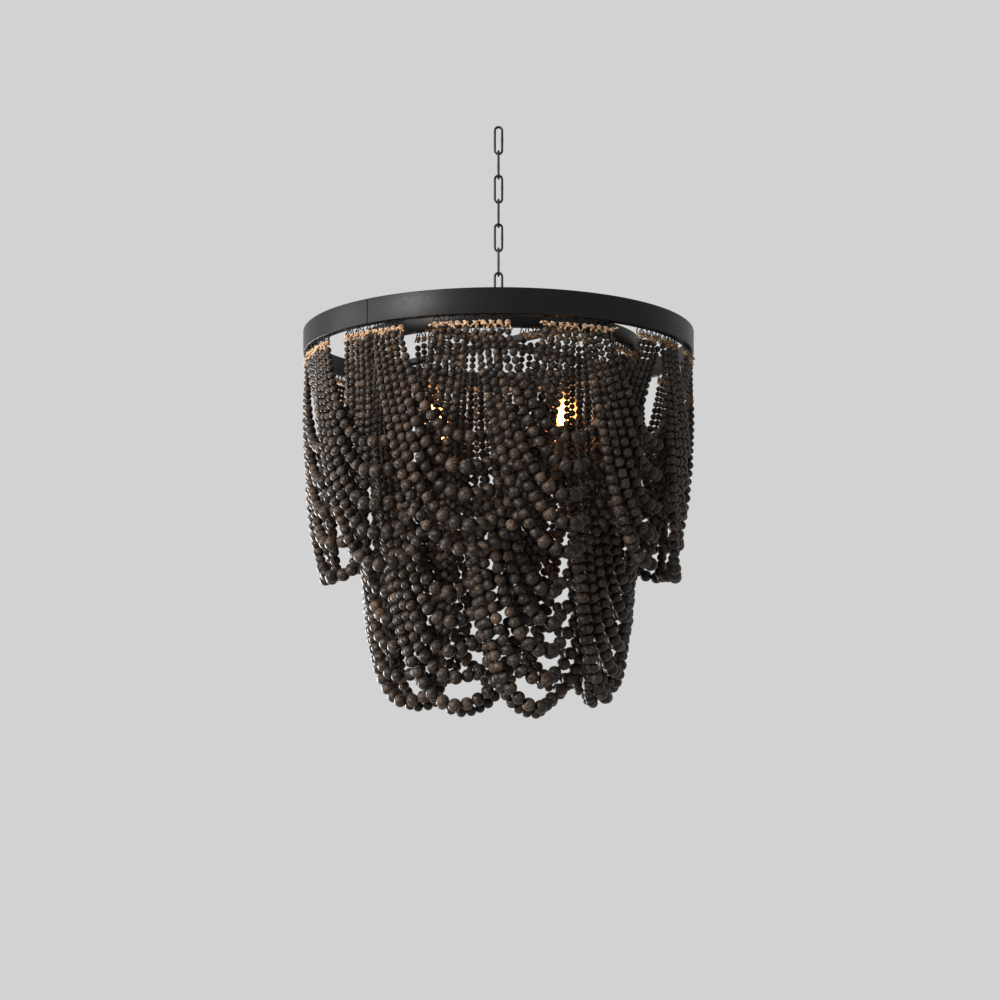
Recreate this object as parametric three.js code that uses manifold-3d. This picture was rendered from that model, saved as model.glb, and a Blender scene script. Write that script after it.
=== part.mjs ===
// A beaded chandelier: two hoops on an X of arms, hung on a link chain, with two tiers of
// nested bead swags round four upright candle lamps.
// Millimetres, +Z up. The origin is the crown of the top link, where a hook holds it.

import * as THREE from "three";
import { mergeVertices } from "three/addons/utils/BufferGeometryUtils.js";
import Module from "manifold-3d";

const wasm = await Module();
wasm.setup();

// Clearances
const seatGap = 0.3; // between two pieces that are welded, screwed or hung together
const overrun = 1; // how far a cutting or joining solid runs past the face that it meets

// Chain
const linkCount = 8;
const linkLength = 42; // outside
const linkWidth = 14; // outside
const linkWire = 3.4;
const linkCrownSteps = 4; // even, so that a step falls on the crown
const wireSides = 6;

// Eye on the hub, which the last link hangs in
const eyeWire = 4;
const eyeOuterRadius = 11;
const eyeSteps = 10;
const eyeShankRadius = 4;
const eyeShankLength = 4;
const eyeFlangeRadius = 9;
const eyeFlangeHeight = 3;

// Upper hoop: a flat band with an inward lip along its bottom edge
const hoopRadius = 275;
const hoopHeight = 30;
const hoopWall = 2.5;
const hoopLipReach = 10.5;
const hoopFacets = 44; // a facet, not a corner, meets each arm

// Lower hoop, which sits under the arms
const tierStep = 73; // how much smaller its radius is than the upper hoop's
const innerHoopRadius = hoopRadius - tierStep;
const innerHoopWall = 2.5;
const innerHoopLipReach = 12;
const innerHoopBottomStep = 3; // how far its bottom edge stays above the upper hoop's

// Arms and hub
const armCount = 4;
const armWidth = 15;
const armHeight = 8;
const hubRadius = 23;
const hubFacets = 16;
const hubBoreRadius = 4.5;

// Inlet for the lamp wire, on the hub beside the eye
const glandOffset = 15.8;
const glandRadius = 5;
const glandHeight = 7;
const glandBoreRadius = 3.3;
const glandCollarRadius = 6.2;
const glandCollarHeight = 2.5;

// Lamp stem and lower hub
const stemRadius = 6.5;
const stemBoreRadius = 4.5;
const lampHubDepth = 236; // its centre, below the top edge of the upper hoop
const lampHubRadius = 19;
const lampHubFacets = 8; // its flats face the candle arms
const lampHubHeight = 22;
const lampHubBoreRadius = 4.5;
const finialLength = 30;
const finialRadius = 9;
const finialNeckRadius = 5;

// Candle arms, cups, sleeves and bulbs
const candleCount = 4;
const lampRoom = 76; // from the lower hoop in to the candles' axes
const candleCircleRadius = innerHoopRadius - lampRoom;
const candleTubeRadius = 5;
const candleTubeSides = 6;
const candleBendRadius = 26;
const candleBendSteps = 3;
const candleUpright = 6.7; // upright tube between the bend and the cup
const cupRadius = 19;
const cupHeight = 8;
const cupRimHeight = 3;
const cupFloor = 2.5;
const sleeveRadius = 13;
const sleeveLength = 62;
const sleeveBoreRadius = 8;
const sleeveBoreDepth = 30;
const bulbLength = 70; // from the shoulder on the sleeve to the tip
const bulbRadius = 17.5;
const bulbNeckRadius = 9.5;
const bulbBaseRadius = 6.8;
const bulbBaseLength = 24;
const lampFacets = 10;

// Bead swags. A swag hangs from the right half of one cluster of hooks to the left half of
// the next cluster but one, so its bottom lies under the cluster in between.
const hookInset = 5; // how far inside a hoop's rim its swags hang
const hookLength = 10; // wire ring and knot, from the hoop down to the first bead
const firstBeadLength = 8;
const clusterGap = 2.4; // between the two halves of a cluster of hooks
const smallBeadRadius = 4;
const largeBeadRadius = 9;
const beadGrowthPower = 1.6; // beads grow slowly at first, then fast towards the bottom
const sectionShare = 0.84; // half side of a strand's square section, as a share of the bead radius
const spacingShare = 0.36; // half thickness of a strand, as a share of the strand spacing
const layerReach = 10.8; // how far two crossing swags stand off their common surface
const layerSetback = 3; // how far that surface moves in below the hooks
const layerDepth = 60; // the depth over which they part
const layerPower = 1.5;

const upperTier = {
  name: "upper_swag",
  swags: 13,
  strands: 5,
  hookRadius: hoopRadius - hookInset,
  firstAzimuth: -6.8,
  innermostAngle: 18.61,
  shortestDepth: 173,
  longestDepth: 325,
  sideDrop: 20, // how much deeper the side swags hang, and the front and back ones less
  lastDrop: 0,
  lastInset: 0,
  lastBeadRadius: 9,
  hookLayer: 0,
  crossingHalfWidth: 17,
  ringAngleShares: [0.94, 0.72, 0.34], // where its rings lie, as shares of its slope angle at the top
};

const lowerTier = {
  name: "lower_swag",
  swags: 9,
  strands: 6,
  hookRadius: innerHoopRadius - hookInset,
  firstAzimuth: -16,
  innermostAngle: 25,
  shortestDepth: 359,
  longestDepth: 501,
  sideDrop: 5,
  lastDrop: 10, // the last strand hangs this much lower than the one before it
  lastInset: 14, // and this much further in at its bottom
  lastBeadRadius: 7.25,
  hookLayer: 0,
  crossingHalfWidth: 14,
  ringAngleShares: [0.96, 0.84, 0.46],
};
const insetHalfWidth = 60; // from its bottom, where the last strand leaves its layer
const sideAzimuth = 95; // where the swags hang deepest, and opposite

// Levels, from the held point downwards
const linkPitch = linkLength - 2 * linkWire - seatGap;
const linkCrownCentreRadius = (linkWidth - linkWire) / 2;
const topLinkCentreZ = linkWire - linkLength / 2;
const lastLinkCentreZ = topLinkCentreZ - (linkCount - 1) * linkPitch;
const lastCrownWireZ = lastLinkCentreZ - linkLength / 2 + linkWire / 2;
const eyeTopWireZ = lastCrownWireZ + (linkWire + eyeWire) / 2 + seatGap;
const eyeCentreRadius = eyeOuterRadius - eyeWire / 2;
const eyeCentreZ = eyeTopWireZ - eyeCentreRadius;
const hoopTopZ = eyeCentreZ - eyeOuterRadius - eyeShankLength - eyeFlangeHeight - seatGap;
const hoopBottomZ = hoopTopZ - hoopHeight;
const innerHoopTopZ = hoopTopZ - armHeight - seatGap;
const innerHoopBottomZ = hoopBottomZ + innerHoopBottomStep;
const hubBottomZ = hoopTopZ - armHeight;

const fullTurn = Math.PI * 2;
const armStep = fullTurn / armCount;

const blackSteel = new THREE.MeshStandardMaterial({ color: 0x1b1a1a, roughness: 0.45, metalness: 0.7 });
const darkBeads = new THREE.MeshStandardMaterial({ color: 0x3a312b, roughness: 0.6, metalness: 0 });
const darkSleeve = new THREE.MeshStandardMaterial({ color: 0x1f1712, roughness: 0.6, metalness: 0.1 });
const warmGlass = new THREE.MeshStandardMaterial({ color: 0xffc98a, roughness: 0.15, metalness: 0 });

const chandelier = new THREE.Group();

function radians(degrees) {
  return (degrees * Math.PI) / 180;
}

// Azimuth runs from the front (-Y) towards the right (+X).
function onCircle(radius, azimuth, z) {
  return new THREE.Vector3(radius * Math.sin(azimuth), -radius * Math.cos(azimuth), z);
}

function addPiece(name, geometry, material) {
  const mesh = new THREE.Mesh(geometry, material);
  mesh.name = name;
  chandelier.add(mesh);
  return mesh;
}

function geometryFrom(positions, indices) {
  const geometry = new THREE.BufferGeometry();
  geometry.setAttribute("position", new THREE.Float32BufferAttribute(positions, 3));
  geometry.setIndex(indices);
  geometry.computeVertexNormals();
  return geometry;
}

// Closes a loft over rings of points. A closed loft joins its last ring to its first.
function loft(rings, closed) {
  const sides = rings[0].length;
  const positions = rings.flat().flatMap((point) => point.toArray());
  const indices = [];
  const spans = closed ? rings.length : rings.length - 1;
  for (let ring = 0; ring < spans; ring += 1) {
    const here = ring * sides;
    const there = ((ring + 1) % rings.length) * sides;
    for (let side = 0; side < sides; side += 1) {
      const next = (side + 1) % sides;
      indices.push(here + side, there + next, here + next);
      indices.push(here + side, there + side, there + next);
    }
  }
  if (!closed) {
    const last = (rings.length - 1) * sides;
    for (let side = 1; side < sides - 1; side += 1) {
      indices.push(0, side, side + 1);
      indices.push(last, last + side + 1, last + side);
    }
  }
  return geometryFrom(positions, indices);
}

// A turned piece. Its profile is a list of [radius, z] from the bottom up, round the metal.
function turned(profile, facets) {
  const points = profile.map(([radius, z]) => new THREE.Vector2(radius, z));
  const geometry = new THREE.LatheGeometry(points, facets);
  geometry.rotateX(Math.PI / 2);
  return geometry;
}

function toSolid(geometry) {
  const bare = geometry.clone();
  bare.deleteAttribute("normal");
  bare.deleteAttribute("uv");
  const merged = mergeVertices(bare);
  const solid = new wasm.Manifold(
    new wasm.Mesh({
      numProp: 3,
      vertProperties: new Float32Array(merged.attributes.position.array),
      triVerts: new Uint32Array(merged.index.array),
    }),
  );
  return solid;
}

function fromSolid(solid) {
  const mesh = solid.getMesh();
  return geometryFrom(Array.from(mesh.vertProperties), Array.from(mesh.triVerts));
}

function joined(...geometries) {
  const solids = geometries.map(toSolid);
  return fromSolid(solids.reduce((whole, solid) => whole.add(solid)));
}

// A closed loop of round wire in the XZ plane, about a centre line of points.
function wireLoop(centreLine, wireRadius, sides) {
  const rings = centreLine.map((point, index) => {
    const before = centreLine[(index + centreLine.length - 1) % centreLine.length];
    const after = centreLine[(index + 1) % centreLine.length];
    const along = new THREE.Vector3().subVectors(after, before).normalize();
    const across = new THREE.Vector3(0, 1, 0);
    const outward = new THREE.Vector3().crossVectors(along, across);
    return Array.from({ length: sides }, (_, side) => {
      const turn = (fullTurn * side) / sides;
      return point
        .clone()
        .addScaledVector(outward, wireRadius * Math.cos(turn))
        .addScaledVector(across, wireRadius * Math.sin(turn));
    });
  });
  return loft(rings, true);
}

function linkCentreLine() {
  const straightHalf = linkLength / 2 - linkWidth / 2;
  const points = [];
  for (const end of [1, -1]) {
    for (let step = 0; step <= linkCrownSteps; step += 1) {
      const turn = (Math.PI * step) / linkCrownSteps;
      points.push(
        new THREE.Vector3(
          end * linkCrownCentreRadius * Math.cos(turn),
          0,
          end * (straightHalf + linkCrownCentreRadius * Math.sin(turn)),
        ),
      );
    }
  }
  return points;
}

function addChain() {
  for (let index = 0; index < linkCount; index += 1) {
    const link = addPiece(
      `chain_link_${index + 1}`,
      wireLoop(linkCentreLine(), linkWire / 2, wireSides),
      blackSteel,
    );
    link.position.z = topLinkCentreZ - index * linkPitch;
    link.rotation.z = index % 2 === 0 ? 0 : Math.PI / 2;
  }
}

function addHubEye() {
  const centreLine = Array.from({ length: eyeSteps }, (_, step) => {
    const turn = Math.PI / 2 + (fullTurn * step) / eyeSteps;
    return new THREE.Vector3(eyeCentreRadius * Math.cos(turn), 0, eyeCentreRadius * Math.sin(turn));
  });
  const ring = wireLoop(centreLine, eyeWire / 2, wireSides);
  const shankTop = -eyeCentreRadius;
  const flangeTop = -eyeOuterRadius - eyeShankLength;
  const flangeBottom = flangeTop - eyeFlangeHeight;
  const shank = turned(
    [
      [0, flangeBottom],
      [eyeFlangeRadius, flangeBottom],
      [eyeFlangeRadius, flangeTop],
      [eyeShankRadius, flangeTop],
      [eyeShankRadius * sectionShare, shankTop],
      [0, shankTop],
    ],
    lampFacets,
  );
  addPiece("hub_eye", joined(ring, shank), blackSteel).position.z = eyeCentreZ;
}

function addHoop(name, outerRadius, wall, lipReach, bottomZ, topZ) {
  const innerRadius = outerRadius - wall;
  const lipRadius = outerRadius - lipReach;
  const profile = [
    [lipRadius, bottomZ],
    [outerRadius, bottomZ],
    [outerRadius, topZ],
    [innerRadius, topZ],
    [innerRadius, bottomZ + wall],
    [lipRadius, bottomZ + wall],
  ];
  const rings = Array.from({ length: hoopFacets }, (_, step) =>
    profile.map(([radius, z]) => onCircle(radius, (fullTurn * step) / hoopFacets, z)),
  );
  addPiece(name, loft(rings, true), blackSteel);
}

function armAzimuth(index) {
  return armStep * (index + 1 / 2);
}

function addArms() {
  const hubFlat = hubRadius * Math.cos(Math.PI / hubFacets);
  const hoopFlat = (hoopRadius - hoopWall) * Math.cos(Math.PI / hoopFacets);
  const start = hubFlat + seatGap;
  const end = hoopFlat - seatGap;
  for (let index = 0; index < armCount; index += 1) {
    const bar = new THREE.BoxGeometry(armWidth, end - start, armHeight);
    bar.translate(0, -(start + end) / 2, hoopTopZ - armHeight / 2);
    addPiece(`arm_${index + 1}`, bar, blackSteel).rotation.z = armAzimuth(index);
  }
}

function addHub() {
  const profile = [
    [hubBoreRadius, hubBottomZ],
    [hubRadius, hubBottomZ],
    [hubRadius, hoopTopZ],
    [hubBoreRadius, hoopTopZ],
    [hubBoreRadius, hubBottomZ],
  ];
  // Half a facet of turn puts a flat of the hub against each arm.
  const disc = turned(profile, hubFacets);
  const gland = new THREE.CylinderGeometry(
    glandBoreRadius,
    glandBoreRadius,
    armHeight + 2 * overrun,
    lampFacets,
  );
  gland.rotateX(Math.PI / 2);
  const turn = Math.PI / hubFacets;
  const place = onCircle(glandOffset, -turn, hoopTopZ - armHeight / 2);
  gland.translate(place.x, place.y, place.z);
  const drilled = fromSolid(toSolid(disc).subtract(toSolid(gland)));
  addPiece("hub", drilled, blackSteel).rotation.z = turn;
}

function addWireGland() {
  const bottom = hoopTopZ + seatGap;
  const profile = [
    [glandBoreRadius, bottom],
    [glandCollarRadius, bottom],
    [glandCollarRadius, bottom + glandCollarHeight],
    [glandRadius, bottom + glandCollarHeight],
    [glandRadius, bottom + glandHeight],
    [glandBoreRadius, bottom + glandHeight],
    [glandBoreRadius, bottom],
  ];
  addPiece("wire_gland", turned(profile, lampFacets), blackSteel).position.y = -glandOffset;
}

const lampHubTopZ = hoopTopZ - lampHubDepth + lampHubHeight / 2;
const lampHubBottomZ = lampHubTopZ - lampHubHeight;
const candleArmZ = hoopTopZ - lampHubDepth;
const cupBottomZ = candleArmZ + candleBendRadius + candleUpright;
const cupTopZ = cupBottomZ + cupHeight;
const sleeveBottomZ = cupTopZ - cupRimHeight + seatGap;
const sleeveTopZ = sleeveBottomZ + sleeveLength;

function addStem() {
  const bottom = lampHubTopZ + seatGap;
  const top = hubBottomZ - seatGap;
  const profile = [
    [stemBoreRadius, bottom],
    [stemRadius, bottom],
    [stemRadius, top],
    [stemBoreRadius, top],
    [stemBoreRadius, bottom],
  ];
  addPiece("lamp_stem", turned(profile, lampFacets), blackSteel);
}

function addLampHub() {
  const chamfer = lampHubRadius - lampHubHeight / 2;
  const profile = [
    [lampHubBoreRadius, lampHubBottomZ],
    [lampHubRadius - chamfer, lampHubBottomZ],
    [lampHubRadius, lampHubBottomZ + lampHubHeight / 4],
    [lampHubRadius, lampHubTopZ - lampHubHeight / 4],
    [lampHubRadius - chamfer, lampHubTopZ],
    [lampHubBoreRadius, lampHubTopZ],
    [lampHubBoreRadius, lampHubBottomZ],
  ];
  addPiece("lamp_hub", turned(profile, lampHubFacets), blackSteel).rotation.z = Math.PI / lampHubFacets;
}

function addFinial() {
  const top = lampHubBottomZ - seatGap;
  const neckBottom = top - finialLength / 4;
  const ballHeight = finialLength - finialLength / 4;
  const ballSteps = 4;
  const profile = [];
  for (let step = 0; step < ballSteps; step += 1) {
    const turn = (Math.PI * step) / (ballSteps + 1);
    const z = neckBottom - (ballHeight * (1 + Math.cos(turn))) / 2;
    profile.push([finialRadius * Math.sin(turn), z]);
  }
  profile.push([finialNeckRadius, neckBottom]);
  profile.push([finialNeckRadius, top]);
  profile.push([0, top]);
  addPiece("finial", turned(profile, lampFacets), blackSteel);
}

// The centre line of one candle arm in its own plane: out from the lamp hub, then up.
function candleArmLine() {
  const flat = lampHubRadius * Math.cos(Math.PI / lampHubFacets);
  const bendStart = candleCircleRadius - candleBendRadius;
  const points = [[flat + seatGap, candleArmZ]];
  for (let step = 0; step <= candleBendSteps; step += 1) {
    const turn = (Math.PI / 2) * (step / candleBendSteps);
    points.push([
      bendStart + candleBendRadius * Math.sin(turn),
      candleArmZ + candleBendRadius * (1 - Math.cos(turn)),
    ]);
  }
  points.push([candleCircleRadius, cupBottomZ + cupFloor / 2]);
  return points;
}

function candleTube() {
  const line = candleArmLine();
  const rings = line.map(([reach, z], index) => {
    const [reachBefore, zBefore] = line[Math.max(index - 1, 0)];
    const [reachAfter, zAfter] = line[Math.min(index + 1, line.length - 1)];
    const slope = Math.atan2(zAfter - zBefore, reachAfter - reachBefore);
    return Array.from({ length: candleTubeSides }, (_, side) => {
      const turn = (fullTurn * (side + 1 / 2)) / candleTubeSides;
      const up = candleTubeRadius * Math.cos(turn);
      const across = candleTubeRadius * Math.sin(turn);
      return new THREE.Vector3(across, -(reach - up * Math.sin(slope)), z + up * Math.cos(slope));
    });
  });
  return loft(rings, false);
}

function candleCup() {
  const recessRadius = sleeveRadius + 2 * seatGap;
  const profile = [
    [0, cupBottomZ],
    [candleTubeRadius + cupFloor, cupBottomZ],
    [cupRadius, cupTopZ - cupRimHeight],
    [cupRadius, cupTopZ],
    [recessRadius, cupTopZ],
    [recessRadius, cupTopZ - cupRimHeight],
    [0, cupTopZ - cupRimHeight],
  ];
  return turned(profile, lampFacets).translate(0, -candleCircleRadius, 0);
}

function candleSleeve() {
  const boreFloor = sleeveTopZ - sleeveBoreDepth;
  const profile = [
    [0, sleeveBottomZ],
    [sleeveRadius, sleeveBottomZ],
    [sleeveRadius, sleeveTopZ],
    [sleeveBoreRadius, sleeveTopZ],
    [sleeveBoreRadius, boreFloor],
    [0, boreFloor],
  ];
  return turned(profile, lampFacets);
}

// A candle bulb: a round base in the sleeve, a shoulder on its rim and a flame-shaped glass.
function candleBulb() {
  const shoulder = sleeveTopZ + seatGap;
  const flameShares = [
    [0.12, 0.78],
    [0.3, 1],
    [0.55, 0.86],
    [0.76, 0.52],
    [0.9, 0.24],
  ];
  const profile = [
    [0, shoulder - bulbBaseLength],
    [bulbBaseRadius, shoulder - bulbBaseLength],
    [bulbBaseRadius, shoulder],
    [bulbNeckRadius, shoulder],
    ...flameShares.map(([height, width]) => [width * bulbRadius, shoulder + height * bulbLength]),
    [0, shoulder + bulbLength],
  ];
  return turned(profile, lampFacets);
}

function addCandles() {
  for (let index = 0; index < candleCount; index += 1) {
    const azimuth = armAzimuth(index);
    const place = onCircle(candleCircleRadius, azimuth, 0);
    addPiece(`candle_arm_${index + 1}`, joined(candleTube(), candleCup()), blackSteel).rotation.z = azimuth;
    addPiece(`candle_sleeve_${index + 1}`, candleSleeve(), darkSleeve).position.copy(place);
    addPiece(`bulb_${index + 1}`, candleBulb(), warmGlass).position.copy(place);
  }
}

// The catenary constant of a strand of half width w that hangs by a drop, by bisection.
function catenaryConstant(halfWidth, drop) {
  let low = halfWidth / 20;
  let high = halfWidth * 20;
  for (let round = 0; round < 60; round += 1) {
    const middle = (low + high) / 2;
    const reached = middle * (Math.cosh(halfWidth / middle) - 1);
    if (reached > drop) low = middle;
    else high = middle;
  }
  return (low + high) / 2;
}

// The angle between two hooks of a swag. Its outermost hook nearly meets the next swag's.
function strandPitchAngle(tier) {
  const halfGap = clusterGap / (2 * tier.hookRadius);
  return (fullTurn / tier.swags - halfGap - radians(tier.innermostAngle)) / (tier.strands - 1 / 2);
}

// Everything that shapes one strand of a swag.
function strandShape(tier, swagAzimuth, strand, hookBottomZ) {
  const pitchAngle = strandPitchAngle(tier);
  const hookAngle = radians(tier.innermostAngle) + strand * pitchAngle;
  const isLast = strand === tier.strands - 1;
  const hasExtra = tier.lastDrop > 0;
  const evenStrands = hasExtra ? tier.strands - 1 : tier.strands;
  const sideways = -Math.cos(2 * (swagAzimuth - radians(sideAzimuth - 90)));
  const longest = tier.longestDepth + tier.sideDrop * sideways;
  const share = Math.min(strand / (evenStrands - 1), 1);
  const evenDepth = tier.shortestDepth + (longest - tier.shortestDepth) * share;
  const depth = evenDepth + (isLast ? tier.lastDrop : 0);
  const catenaryTopZ = hookBottomZ - hookLength - firstBeadLength;
  const halfWidth = tier.hookRadius * Math.sin(hookAngle);
  const drop = catenaryTopZ - (hoopTopZ - depth);
  const constant = catenaryConstant(halfWidth, drop);
  return {
    hookAngle,
    halfWidth,
    drop,
    constant,
    catenaryTopZ,
    halfLength: constant * Math.sinh(halfWidth / constant),
    chordReach: tier.hookRadius * Math.cos(hookAngle),
    inset: isLast ? tier.lastInset : 0,
    bottomBeadRadius: isLast ? tier.lastBeadRadius : largeBeadRadius,
  };
}

// The centre of a strand at a distance x along its chord, negative on the left.
function strandCentre(tier, shape, x) {
  const height = shape.constant * (Math.cosh(x / shape.constant) - 1);
  const z = shape.catenaryTopZ - shape.drop + height;
  const below = shape.drop - height;
  const parted = 1 - Math.exp(-Math.pow(below / layerDepth, layerPower));
  const layer = tier.hookLayer + (layerReach - tier.hookLayer) * parted;
  const setback = layerSetback * parted;
  const side = Math.min(Math.max(x / tier.crossingHalfWidth, -1), 1);
  const insetShare = Math.max(1 - (x / insetHalfWidth) ** 2, 0);
  const reach = shape.chordReach - shape.inset * insetShare;
  const radius = Math.hypot(reach, x) - setback - layer * Math.sin((side * Math.PI) / 2);
  return { radius, azimuth: Math.atan2(x, reach), z };
}

function beadRadiusAt(shape, x) {
  const fromBottom = (shape.constant * Math.sinh(Math.abs(x) / shape.constant)) / shape.halfLength;
  const growth = Math.pow(1 - fromBottom, beadGrowthPower);
  return smallBeadRadius + (shape.bottomBeadRadius - smallBeadRadius) * growth;
}

// Four corners round a strand: inside and outside of the swag, on its outer and inner face.
function strandRing(tier, shape, swagAzimuth, x, spacing) {
  const centre = strandCentre(tier, shape, x);
  const azimuth = swagAzimuth + centre.azimuth;
  const point = onCircle(centre.radius, azimuth, centre.z);
  const outward = onCircle(1, azimuth, 0);
  const sideways = new THREE.Vector3(Math.cos(azimuth), Math.sin(azimuth), 0);
  const slope = Math.atan(Math.sinh(x / shape.constant));
  const inside = sideways
    .multiplyScalar(-Math.sin(slope))
    .add(new THREE.Vector3(0, 0, Math.cos(slope)));
  const bead = beadRadiusAt(shape, x);
  const isBottom = x === 0;
  const halfInside = isBottom ? bead : Math.min(bead * sectionShare, spacing * spacingShare);
  const halfOut = bead * sectionShare;
  const corner = (alongInside, alongOut) =>
    point
      .clone()
      .addScaledVector(inside, alongInside * halfInside)
      .addScaledVector(outward, alongOut * halfOut);
  return [corner(1, 1), corner(-1, 1), corner(-1, -1), corner(1, -1)];
}

// One swag as a single closed body: its strands touch at their first beads, where
// neighbours share the corners between them, and hang apart below.
function swagGeometry(tier, swagAzimuth, hookBottomZ) {
  const positions = [];
  const indices = [];
  const addPoint = (point) => positions.push(...point.toArray()) / 3 - 1;
  const quad = (a, b, c, d) => indices.push(a, b, c, a, c, d);
  const pitchAngle = strandPitchAngle(tier);
  const beadTopZ = hookBottomZ - hookLength;
  const beadBottomZ = beadTopZ - firstBeadLength;
  const halfThick = smallBeadRadius;

  // Corners of the first beads: [side of the swag][boundary][level] gives outer and inner.
  const boundaryCorners = [-1, 1].map((side) => {
    const layerRadius = tier.hookRadius - side * tier.hookLayer;
    return Array.from({ length: tier.strands + 1 }, (_, boundary) => {
      const angle = radians(tier.innermostAngle) + (boundary - 1 / 2) * pitchAngle;
      const azimuth = swagAzimuth + side * angle;
      return [beadTopZ, beadBottomZ].map((z) => ({
        outer: addPoint(onCircle(layerRadius + halfThick, azimuth, z)),
        inner: addPoint(onCircle(layerRadius - halfThick, azimuth, z)),
      }));
    });
  });

  for (let strand = 0; strand < tier.strands; strand += 1) {
    const shape = strandShape(tier, swagAzimuth, strand, hookBottomZ);
    const rings = [];
    const ringXs = [];
    for (const share of tier.ringAngleShares) {
      const topSlope = Math.atan(Math.sinh(shape.halfWidth / shape.constant));
      ringXs.push(shape.constant * Math.asinh(Math.tan(topSlope * share)));
    }
    const spacingAt = (x) => strandSpacing(tier, swagAzimuth, strand, shape, x, hookBottomZ);
    const levelRing = (side, level) => {
      const near = boundaryCorners[side][strand][level];
      const far = boundaryCorners[side][strand + 1][level];
      return [near.outer, far.outer, far.inner, near.inner];
    };
    rings.push(levelRing(0, 0));
    rings.push(levelRing(0, 1));
    for (const x of [...ringXs.map((value) => -value), 0, ...[...ringXs].reverse()]) {
      const corners = strandRing(tier, shape, swagAzimuth, x, spacingAt(x));
      rings.push(corners.map(addPoint));
    }
    rings.push(levelRing(1, 1));
    rings.push(levelRing(1, 0));

    rings.slice(1).forEach((ring, index) => {
      const before = rings[index];
      const isFirstBead = index === 0 || index === rings.length - 2;
      for (let side = 0; side < 4; side += 1) {
        const facesOuterNeighbour = side === 1 && strand < tier.strands - 1;
        const facesInnerNeighbour = side === 3 && strand > 0;
        if (isFirstBead && (facesOuterNeighbour || facesInnerNeighbour)) continue;
        const next = (side + 1) % 4;
        quad(before[side], before[next], ring[next], ring[side]);
      }
    });
    [-1, 1].forEach((side, index) => {
      const layerRadius = tier.hookRadius - side * tier.hookLayer;
      const azimuth = swagAzimuth + side * shape.hookAngle;
      const tip = addPoint(onCircle(layerRadius, azimuth, hookBottomZ));
      const top = index === 0 ? rings[0] : rings[rings.length - 1];
      for (let corner = 0; corner < 4; corner += 1) {
        const next = (corner + 1) % 4;
        if (index === 0) indices.push(tip, top[next], top[corner]);
        else indices.push(tip, top[corner], top[next]);
      }
    });
  }
  return geometryFrom(positions, indices);
}

// The distance from a strand to its nearer neighbour in the swag, square to the strand.
function strandSpacing(tier, swagAzimuth, strand, shape, x, hookBottomZ) {
  const height = shape.constant * (Math.cosh(x / shape.constant) - 1);
  const level = shape.catenaryTopZ - shape.drop + height;
  const slope = Math.abs(Math.sinh(x / shape.constant));
  const squareShare = slope / Math.hypot(1, slope);
  const distances = [strand - 1, strand + 1]
    .filter((other) => other >= 0 && other < tier.strands)
    .map((other) => {
      const neighbour = strandShape(tier, swagAzimuth, other, hookBottomZ);
      const neighbourHeight = level - (neighbour.catenaryTopZ - neighbour.drop);
      if (neighbourHeight <= 0) return Math.abs(shape.drop - neighbour.drop);
      const neighbourX = neighbour.constant * Math.acosh(1 + neighbourHeight / neighbour.constant);
      return Math.abs(Math.abs(x) - neighbourX) * squareShare;
    });
  return Math.min(...distances);
}

function addTier(tier, hoopBottom) {
  const hookBottomZ = hoopBottom - seatGap;
  for (let index = 0; index < tier.swags; index += 1) {
    const azimuth = radians(tier.firstAzimuth) + (fullTurn * index) / tier.swags;
    const number = String(index + 1).padStart(2, "0");
    addPiece(`${tier.name}_${number}`, swagGeometry(tier, azimuth, hookBottomZ), darkBeads);
  }
}

addChain();
addHubEye();
addHub();
addWireGland();
addArms();
addHoop("outer_hoop", hoopRadius, hoopWall, hoopLipReach, hoopBottomZ, hoopTopZ);
addHoop("inner_hoop", innerHoopRadius, innerHoopWall, innerHoopLipReach, innerHoopBottomZ, innerHoopTopZ);
addStem();
addLampHub();
addFinial();
addCandles();
addTier(upperTier, hoopBottomZ);
addTier(lowerTier, innerHoopBottomZ);

export default chandelier;
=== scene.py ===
"""Looks of a beaded chandelier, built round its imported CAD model.

Sizes are in millimetres here and turned to metres in mesh_object(). Azimuth runs from
the front (-Y) towards the right (+X). Z is up, and the origin is where a hook holds the
top link. Meshes are passed about as (verts, quads, tris).
"""

import math

import bmesh
import bpy
import numpy as np
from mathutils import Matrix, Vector


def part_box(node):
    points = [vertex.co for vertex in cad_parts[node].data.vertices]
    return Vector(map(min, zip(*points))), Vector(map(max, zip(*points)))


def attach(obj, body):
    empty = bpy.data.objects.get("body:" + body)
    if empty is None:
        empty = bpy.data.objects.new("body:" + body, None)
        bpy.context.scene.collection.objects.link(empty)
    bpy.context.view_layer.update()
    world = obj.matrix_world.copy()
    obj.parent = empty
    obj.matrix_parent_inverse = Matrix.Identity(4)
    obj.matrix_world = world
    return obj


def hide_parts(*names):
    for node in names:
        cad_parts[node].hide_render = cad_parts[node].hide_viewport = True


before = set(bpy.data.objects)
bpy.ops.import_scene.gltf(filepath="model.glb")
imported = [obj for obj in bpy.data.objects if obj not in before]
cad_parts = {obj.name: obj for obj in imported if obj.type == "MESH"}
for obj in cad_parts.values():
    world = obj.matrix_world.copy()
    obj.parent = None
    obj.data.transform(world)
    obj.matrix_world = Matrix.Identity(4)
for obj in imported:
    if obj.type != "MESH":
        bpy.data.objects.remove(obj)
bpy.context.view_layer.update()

MM = 0.001
SEED = 33
TURN = 2 * math.pi
FIXTURE = "fixture"
GAP = 0.3  # between two pieces that are fixed to or hung in each other

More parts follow.
